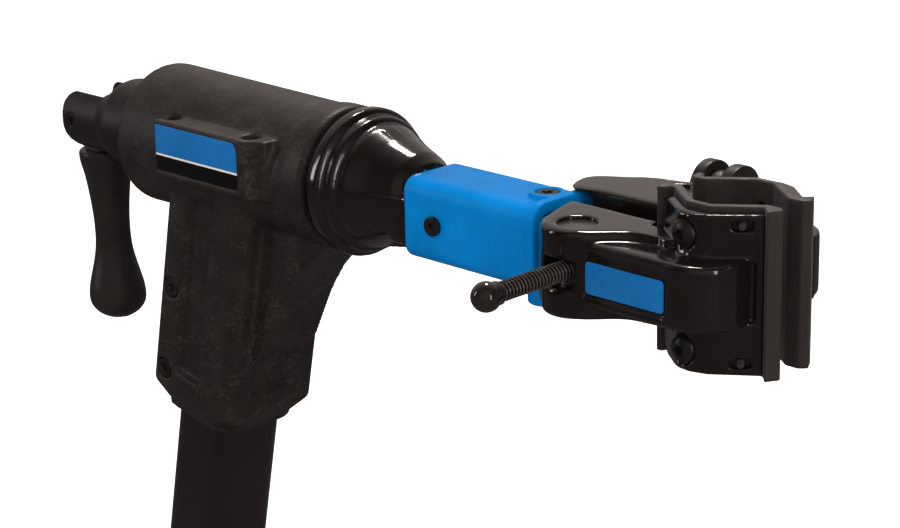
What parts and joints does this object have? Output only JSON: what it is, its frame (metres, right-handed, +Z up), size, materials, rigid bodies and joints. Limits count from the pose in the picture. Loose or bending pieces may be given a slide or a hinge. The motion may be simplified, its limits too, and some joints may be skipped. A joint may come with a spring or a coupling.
{
  "type": "bicycle repair stand",
  "caption": "Two-leg folding bicycle repair stand with a leaning telescopic mast and a rotating rubber-lined clamp head.",
  "frame": {"origin": "on the floor under the mast foot, where the mast axis meets the floor", "axes": "+Z up, +X the way the clamp points and the legs spread, +Y towards the far side arm and the left leg"},
  "size_m": [0.7414, 1.0126, 1.19],
  "materials": {
    "black_tube": "gloss black anodised tube",
    "housing_plastic": "matte dark grey-black, fine grain",
    "collar_plastic": "satin black moulding",
    "lever_plastic": "satin black moulding",
    "gloss_black": "gloss black powder coat on a casting",
    "blue_paint": "satin blue powder coat",
    "blue_label": "printed label, left bare",
    "jaw_rubber": "dark grey-black rubber",
    "foot_rubber": "black rubber",
    "black_screw": "black oxide steel",
    "plated_steel": "zinc plated steel",
    "dark_steel": "dark oxide steel",
    "bush_plastic": "pale bearing plastic",
    "saddle_brass": "turned brass"
  },
  "bodies": {
    "base": {"lower_tube": "black_tube", "mast_foot": "foot_rubber", "height_collar": "collar_plastic", "height_bolt": "plated_steel", "height_pin": "plated_steel"},
    "height_lever": {"height_lever": "lever_plastic"},
    "upper_mast": {"upper_tube": "black_tube", "slide_shoe": "collar_plastic", "head_housing": "housing_plastic", "neck_screws": "black_screw", "housing_label": "blue_label", "boss_screws": "black_screw", "spindle_bushes": "bush_plastic", "lock_fork": "housing_plastic", "lock_pin": "plated_steel", "lock_plunger": "plated_steel"},
    "lock_lever": {"lock_lever": "lever_plastic"},
    "head_arm": {"thrust_washer": "collar_plastic", "arm_spindle": "gloss_black", "clamp_arm": "blue_paint", "arm_screws": "black_screw", "pivot_bolt": "black_screw"},
    "near_arm": {"near_arm": "gloss_black", "near_jaw_cover": "jaw_rubber", "near_jaw_screws": "black_screw", "near_label": "blue_label"},
    "far_arm": {"far_arm": "gloss_black", "far_jaw_cover": "jaw_rubber", "far_jaw_screws": "black_screw", "far_label": "blue_label"},
    "near_nut": {"near_nut": "dark_steel"},
    "far_nut": {"far_nut": "dark_steel", "cam_saddle": "saddle_brass"},
    "clamp_rod": {"clamp_rod": "dark_steel", "rod_ball": "lever_plastic", "cam_pin": "plated_steel"},
    "clamp_lever": {"clamp_lever": "lever_plastic"},
    "leg_collar": {"leg_collar": "collar_plastic", "collar_bolt": "plated_steel", "collar_pin": "plated_steel", "leg_bolts": "plated_steel"},
    "collar_lever": {"collar_lever": "lever_plastic"},
    "left_leg": {"left_leg": "black_tube", "left_knuckle": "collar_plastic", "left_foot": "foot_rubber"},
    "right_leg": {"right_leg": "black_tube", "right_knuckle": "collar_plastic", "right_foot": "foot_rubber"}
  },
  "joints": [
    {"name": "mast_height", "type": "slide", "parent": "base", "child": "upper_mast", "axis": [0.2079, 0, 0.9781], "range_m": [-0.1632, 0.3067]},
    {"name": "height_lever_turn", "type": "hinge", "parent": "base", "child": "height_lever", "pos_m": [0.12351, -0.029, 0.81002], "axis": [0.2079, 0, 0.9781], "range_deg": [-110, 0]},
    {"name": "lock_lever_turn", "type": "hinge", "parent": "upper_mast", "child": "lock_lever", "pos_m": [0.10344, 0, 1.15], "axis": [0, 1, 0], "range_deg": [0, 120]},
    {"name": "head_turn", "type": "hinge", "parent": "upper_mast", "child": "head_arm", "pos_m": [0.17144, 0, 1.15], "axis": [1, 0, 0], "continuous": true},
    {"name": "near_arm_swing", "type": "hinge", "parent": "head_arm", "child": "near_arm", "pos_m": [0.46544, 0, 1.15], "axis": [0, 0, 1], "range_deg": [-14, 2.5]},
    {"name": "far_arm_swing", "type": "hinge", "parent": "head_arm", "child": "far_arm", "pos_m": [0.46544, 0, 1.15], "axis": [0, 0, 1], "range_deg": [-2.5, 14]},
    {"name": "near_nut_turn", "type": "hinge", "parent": "near_arm", "child": "near_nut", "pos_m": [0.51744, -0.036, 1.15], "axis": [0, 0, 1], "range_deg": [-2.5, 14]},
    {"name": "far_nut_turn", "type": "hinge", "parent": "far_arm", "child": "far_nut", "pos_m": [0.51744, 0.036, 1.15], "axis": [0, 0, 1], "range_deg": [-14, 2.5]},
    {"name": "rod_spin", "type": "hinge", "parent": "far_nut", "child": "clamp_rod", "pos_m": [0.51744, 0, 1.15], "axis": [0, 1, 0], "continuous": true},
    {"name": "clamp_lever_turn", "type": "hinge", "parent": "clamp_rod", "child": "clamp_lever", "pos_m": [0.51744, 0.0722, 1.164], "axis": [1, 0, 0], "range_deg": [0, 100]},
    {"name": "leg_collar_slide", "type": "slide", "parent": "base", "child": "leg_collar", "axis": [0.2079, 0, 0.9781], "range_m": [0, 0.189]},
    {"name": "collar_lever_turn", "type": "hinge", "parent": "leg_collar", "child": "collar_lever", "pos_m": [0.07298, -0.029, 0.57231], "axis": [0.2079, 0, 0.9781], "range_deg": [-110, 0]},
    {"name": "left_leg_fold", "type": "hinge", "parent": "leg_collar", "child": "left_leg", "pos_m": [0.15637, 0.03292, 0.51778], "axis": [-0.5749, 0.809, 0.1222], "range_deg": [0, 62]},
    {"name": "right_leg_fold", "type": "hinge", "parent": "leg_collar", "child": "right_leg", "pos_m": [0.15637, -0.03292, 0.51778], "axis": [0.5749, 0.809, -0.1222], "range_deg": [0, 62]}
  ],
  "couplings": [
    {"joint": "far_arm_swing", "follows": "near_arm_swing", "ratio": -1},
    {"joint": "near_nut_turn", "follows": "near_arm_swing", "ratio": -1},
    {"joint": "far_nut_turn", "follows": "near_arm_swing", "ratio": 1}
  ]
}
